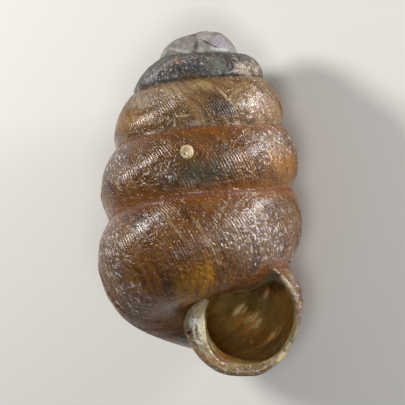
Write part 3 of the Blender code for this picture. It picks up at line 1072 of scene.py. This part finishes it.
# %% Streak the skin and stain the seams
grew = maths(tree, "MULTIPLY_ADD", tip, -0.75, 0.75)
broad = use(tree, streaks, Along=26, Across=1.2, Low=0.42, High=0.72, Seed=1)
fine = use(tree, streaks, Along=110, Across=2.5, Low=0.42, High=0.68, Seed=2)
colour = painted(tree, colour, broad, grew, tone(140, 96, 40), "MULTIPLY")
colour = painted(tree, colour, fine, grew, tone(176, 140, 92), "MULTIPLY")
seam = use(tree, seams, Above=0.05, Below=0.07)
wide_seam = use(tree, seams, Above=0.22, Below=0.20)
patchy = mottled(tree, 0.09, 0.35, 0.6, 21)
stained = times(tree, ramped(tree, whorl, 2.6, 3.3), ramped(tree, whorl, 5.2, 4.4))
colour = painted(tree, colour, times(tree, wide_seam, stained), 0.8, tone(150, 88, 14, 0.62))
thin_line = times(tree, times(tree, seam, stained), patchy)
colour = painted(tree, colour, seam, grew, tone(190, 136, 70), "MULTIPLY")
colour = painted(tree, colour, thin_line, 0.5, tone(172, 98, 6, 0.55))
print("skin so far", len(tree.nodes), "nodes")

# %% [markdown]
# ## Glints
#
# Each riblet throws back a broken silvery line, finer than the mesh can show. So the glints are painted,
# as short streaks that follow the growth. A mask of soft patches says where the shell glitters most. It
# lowers the threshold of the streaks there, so that more of them come through.

# %% Paint the glints
# x, y, half width, half height, turn in degrees
SILVER = (
    (262, 236, 34, 30, 12), (112, 250, 12, 46, -4), (276, 146, 22, 20, 14), (118, 166, 12, 24, 10),
    (164, 98, 22, 10, -16), (256, 106, 18, 14, 8), (160, 72, 22, 9, -30), (246, 68, 12, 9, 14),
    (132, 296, 24, 18, 35), (166, 174, 12, 8, 0), (152, 222, 24, 8, -16), (295, 306, 8, 36, -5),
    (188, 62, 22, 6, -6),
)
SILVER_EVERYWHERE = 0.05
# tint of the glints, how long they are across the whorl, seed of their pattern
GLINTS = (
    ((226, 210, 236), 22, 11),
    ((204, 212, 234), 20, 23),
    ((250, 214, 190), 10, 37),
    ((244, 244, 240), 9, 51),
)
silver = SILVER_EVERYWHERE
for place in SILVER:
    silver = maths(tree, "MAXIMUM", silver, patch_mask(tree, ragged, *place, edge=0.7))
# painted sheen: a mottled grey wash over the places that glitter
grey = times(tree, silver, mottled(tree, 0.12, 0.40, 0.62, 24))
colour = painted(tree, colour, grey, 0.25, tone(166, 140, 110, 0.6))
low_end = maths(tree, "MULTIPLY_ADD", silver, -0.09, 0.68)
high_end = maths(tree, "ADD", low_end, 0.05)
# each glint is a painted highlight in the base colour
for paint, long, seed in GLINTS:
    glint = use(tree, streaks, Along=180, Across=long, Low=low_end, High=high_end, Seed=seed)
    colour = painted(tree, colour, glint, 0.75, tone(*paint, 0.85))
tree.links.new(colour, skin_inputs["Base Color"])
print("places that glitter", len(SILVER), "tints", len(GLINTS))

# %% [markdown]
# ## Gloss and fine relief
#
# Fresh skin is glossy under a thin coat. The tip, the seams and a few rubbed spots are dull. Relief too
# fine for the mesh goes into a bump: beads along the riblets, dents and pits.

# %% Set the gloss and the fine relief
# x, y, half width, half height
DULL_SPOTS = ((203, 166, 26, 20), (214, 108, 20, 14), (200, 280, 22, 24), (250, 282, 30, 12))
SKIN_BUMP = 0.000005
worn = 0.0
for place in DULL_SPOTS:
    worn = maths(tree, "MAXIMUM", patch_mask(tree, ragged, *place), worn)
dull = maths(tree, "MAXIMUM", seam, times(tree, worn, 0.5))
dull = maths(tree, "MAXIMUM", ramped(tree, whorl, 2.3, 1.2), dull)
rough = maths(tree, "MULTIPLY_ADD", mottled(tree, 0.12, 0.3, 0.7, 8), 0.22, 0.2)
rough = maths(tree, "MULTIPLY_ADD", dull, 0.28, rough)
tree.links.new(rough, skin_inputs["Roughness"])
gloss = maths(tree, "SUBTRACT", 1.0, maths(tree, "MAXIMUM", dull, worn))
tree.links.new(maths(tree, "MULTIPLY_ADD", gloss, 0.3, 0.02), skin_inputs["Coat Weight"])
beads = use(tree, streaks, Along=180, Across=16, Low=0.3, High=0.7, Seed=4)
dents = mottled(tree, 0.07, 0.25, 0.75, 9, 2)
pits = mottled(tree, 0.03, 0.25, 0.75, 10, 1)
height = maths(tree, "ADD", pits, times(tree, beads, 0.6))
height = maths(tree, "MULTIPLY_ADD", dents, 3.0, height)
bumped(tree, skin_inputs, height, SKIN_BUMP, 0.8)
print("skin", len(tree.nodes), "nodes")

# %% [markdown]
# ## The lip and the mouth's inside
#
# The lip is thick and has none of the brown skin: it is cream, with brown and white specks, a few painted
# highlights and painted shade where it turns into the mouth's upper corner. The inside is olive brown and
# lets most light through; its gleam in slanting strokes is painted light, warm glows and highlights, and
# its upper corner has painted shade. Both are painted as the skin is, with a cloudy base and a list of
# marks.

# %% Colour the lip
LIP_DEPTH = 0.68
LIP_BUMP = 0.000014
LIP_MARKS_AND_PAINTED_LIGHT = (
    (203, 322, 5, 16, 4, 0.4, (255, 240, 204), 0.95),
    (200, 307, 10, 6, -40, 0.5, (246, 222, 172), 0.9),
    (196, 330, 1.6, 14, -14, 0.5, (96, 68, 40), 0.7),
    # painted white highlights on the folded-back lip
    (190.5, 322, 1.3, 5, 6, 0.8, (255, 255, 255), 0.8),
    (195, 322, 1.3, 5, 6, 0.8, (255, 255, 255), 0.8),
    (199, 342, 3, 1.6, 40, 0.8, (255, 255, 255), 0.8),
    (189, 332, 2.4, 2.4, 0, 0.4, (110, 20, 20), 0.95),
    (300, 318, 3, 40, -4, 0.6, (130, 66, 44), 0.7),
    (216, 362, 18, 2, 30, 0.6, (180, 104, 40), 0.7),
    (250, 369, 36, 7, -8, 0.6, (134, 98, 44), 0.85),
    # painted golden highlight on the rim
    (282, 356, 8, 2.4, -42, 0.5, (255, 232, 160), 0.9),
    (281, 262, 9, 6, 20, 0.6, (190, 172, 150), 0.6),
    # painted shade on the lip's inner side in the mouth's upper corner
    (274, 279, 6, 10, -30, 0.5, (112, 92, 60), 0.85),
)
# size of the grain in mm, paint, seed
LIP_SPECKS = ((0.045, (96, 66, 36), 6), (0.03, (250, 244, 236), 4), (0.035, (206, 204, 216), 5))
tree, lip_inputs = start_material(
    materials[LIP], Subsurface_Weight=0.3, Subsurface_Scale=0.00008, Subsurface_Radius=(1.0, 0.6, 0.3),
    Coat_Weight=0.35, Coat_Roughness=0.12, Specular_IOR_Level=0.5,
)
ragged = mottled(tree, 0.05, 0.2, 0.8, 3)
cloudy = mottled(tree, 0.14, 0.35, 0.65, 1)
colour = mixed(tree, cloudy, tone(204, 184, 142, LIP_DEPTH), tone(158, 138, 100, LIP_DEPTH))
colour = add_marks(tree, colour, LIP_MARKS_AND_PAINTED_LIGHT, ragged, LIP_DEPTH)
inner_band = patch_mask(tree, ragged, 203, 318, 6, 22, turn=4, edge=0.4)
speckled = maths(tree, "MULTIPLY_ADD", inner_band, -0.7, 0.75)
for size, paint, seed in LIP_SPECKS:
    speck = mottled(tree, size, 0.57, 0.66, seed)
    colour = painted(tree, colour, speck, speckled, tone(*paint, 0.75))
tree.links.new(colour, lip_inputs["Base Color"])
roughen(tree, lip_inputs, 0.03, 0.25, 0.18)
bumped(tree, lip_inputs, mottled(tree, 0.05, 0.2, 0.8, 9), LIP_BUMP, 0.9)
print("lip", len(tree.nodes), "nodes")

# %% Colour the inside
INSIDE_DEEP = 140.0
INSIDE_MARKS_AND_PAINTED_LIGHT = (
    # painted shade deep in the mouth's upper corner
    (262, 282, 26, 13, -12, 0.5, (96, 80, 46), 0.9),
    (277, 281, 9, 14, 0, 0.5, (80, 64, 36), 0.9),
    (222, 358, 18, 6, 35, 0.7, (130, 84, 36), 0.85),
    (208, 336, 3.5, 14, -4, 0.6, (112, 92, 54), 0.8),
    # painted warm glows and painted highlights, the gleam of light on the inner wall
    (250, 328, 19, 10, 25, 0.8, (196, 146, 74), 0.7),
    (248, 318, 12, 6, 34, 1.0, (222, 176, 100), 0.7),
    (236, 314, 6, 1.4, -50, 1.0, (250, 220, 166), 0.8),
    (241, 310, 5, 1.3, -48, 1.0, (255, 240, 196), 0.95),
    (245, 312, 4, 1.0, -50, 1.0, (255, 232, 180), 0.8),
    (249, 321, 5, 1.3, -50, 1.0, (255, 240, 196), 0.95),
    (255, 319, 6, 1.2, -52, 1.0, (255, 224, 164), 0.9),
    (258, 325, 6, 1.8, -52, 1.0, (255, 238, 186), 0.95),
    (252, 328, 7, 1.1, -52, 1.0, (240, 196, 130), 0.8),
    (267, 295, 2.0, 4.6, 20, 0.9, (250, 206, 190), 0.6),
    (272, 337, 7, 1.4, -52, 1.0, (255, 226, 170), 0.9),
    (277, 336, 6, 1.0, -52, 1.0, (240, 200, 136), 0.8),
    (266, 342, 6, 1.0, -52, 1.0, (230, 180, 110), 0.7),
    (252, 343, 2.2, 2, 0, 0.8, (240, 190, 126), 0.7),
)
tree, inside_inputs = start_material(
    materials[INSIDE], Subsurface_Weight=0.8, Subsurface_Scale=0.0002, Subsurface_Radius=(1.0, 0.7, 0.36),
    Coat_Weight=0.5, Coat_Roughness=0.1, Specular_IOR_Level=0.6,
)
ragged = mottled(tree, 0.05, 0.2, 0.8, 3)
cloudy = mottled(tree, 0.3, 0.3, 0.7, 1)
colour = mixed(tree, cloudy, tone(160, 142, 84), tone(124, 110, 64))
colour = add_marks(tree, colour, INSIDE_MARKS_AND_PAINTED_LIGHT, ragged, 1.0, INSIDE_DEEP)
stripe = use(tree, streaks, Along=60, Across=1.0, Low=0.42, High=0.62, Seed=2)
colour = painted(tree, colour, stripe, 0.55, tone(160, 144, 110), "MULTIPLY")
tree.links.new(colour, inside_inputs["Base Color"])
roughen(tree, inside_inputs, 0.1, 0.2, 0.2)
print("inside", len(tree.nodes), "nodes")

# %% [markdown]
# ## The bead and the dirt
#
# The bead is smooth and slightly see-through, like a drop of dried slime. The grains are dull earth. One
# mottled colour is enough for pieces so small.

# %% Colour the bead and the grains
tree, bead_inputs = start_material(
    bead_material, Subsurface_Weight=0.4, Subsurface_Scale=0.00004, Roughness=0.3, Coat_Weight=0.3
)
cloudy = mottled(tree, 0.05, 0.35, 0.65, 2)
colour = mixed(tree, cloudy, tone(238, 216, 176, 0.7), tone(208, 178, 130, 0.7))
tree.links.new(colour, bead_inputs["Base Color"])
tree, grain_inputs = start_material(grain_material, Roughness=0.55)
cloudy = mottled(tree, 0.2, 0.4, 0.6, 2)
tree.links.new(mixed(tree, cloudy, tone(150, 132, 104), tone(88, 60, 40)), grain_inputs["Base Color"])
print("materials", len(bpy.data.materials))

# %% [markdown]
# ## Floor and light
#
# The stage is a plain pale floor. Two lamps, one low at each side of the shell, draw the broken bright
# lines along both flanks, and a weak, large one from the front lights the mouth. All sizes shrink with
# the object: a lamp of some milliwatts is bright at a distance of a centimetre.

# %% Build the stage
FLOOR_HALF = 0.3
bm = bmesh.new()
bmesh.ops.create_grid(bm, x_segments=1, y_segments=1, size=FLOOR_HALF)
floor_mesh = bpy.data.meshes.new("floor")
bm.to_mesh(floor_mesh)
bm.free()
floor = add_object("floor", floor_mesh)
floor_material = bpy.data.materials.new("floor")
start_material(floor_material, Base_Color=tone(232, 230, 226), Roughness=0.8)
floor_mesh.materials.append(floor_material)

# %% Place the lamps
middle = on_ruler(*RULER_CENTRE)


def lamp(name, across, above, towards, size, power, colour):
    """An area lamp at so many millimetres right of, above and in front of the shell's middle."""
    data = bpy.data.lights.new(name, "AREA")
    data.shape = "DISK"
    data.size, data.energy, data.color = size * MM, power, colour
    made = add_object(name, data)
    made.location = middle + (right * across + up * above + toward * towards) * MM
    made.rotation_mode = "QUATERNION"
    made.rotation_quaternion = (made.location - middle).to_track_quat("Z", "Y")
    return made


lamps = [
    lamp("left_lamp", -12, 5, 3.5, 3, 0.0014, (1.0, 0.97, 0.93)),
    lamp("right_lamp", 11, 6, 6.4, 3, 0.0020, (1.0, 0.98, 0.96)),
    lamp("front_lamp", -1, -3, 18, 6, 0.0009, (1.0, 1.0, 1.0)),
]
world = bpy.data.worlds.new("studio")
world.use_nodes = True
world.node_tree.nodes["Background"].inputs["Color"].default_value = (0.8, 0.82, 0.85, 1)
world.node_tree.nodes["Background"].inputs["Strength"].default_value = 0.14
bpy.context.scene.world = world
bpy.context.scene.view_settings.view_transform = "Standard"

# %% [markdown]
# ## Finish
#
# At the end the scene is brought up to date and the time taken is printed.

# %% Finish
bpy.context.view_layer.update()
print("done in", round(time.time() - started, 1), "s")
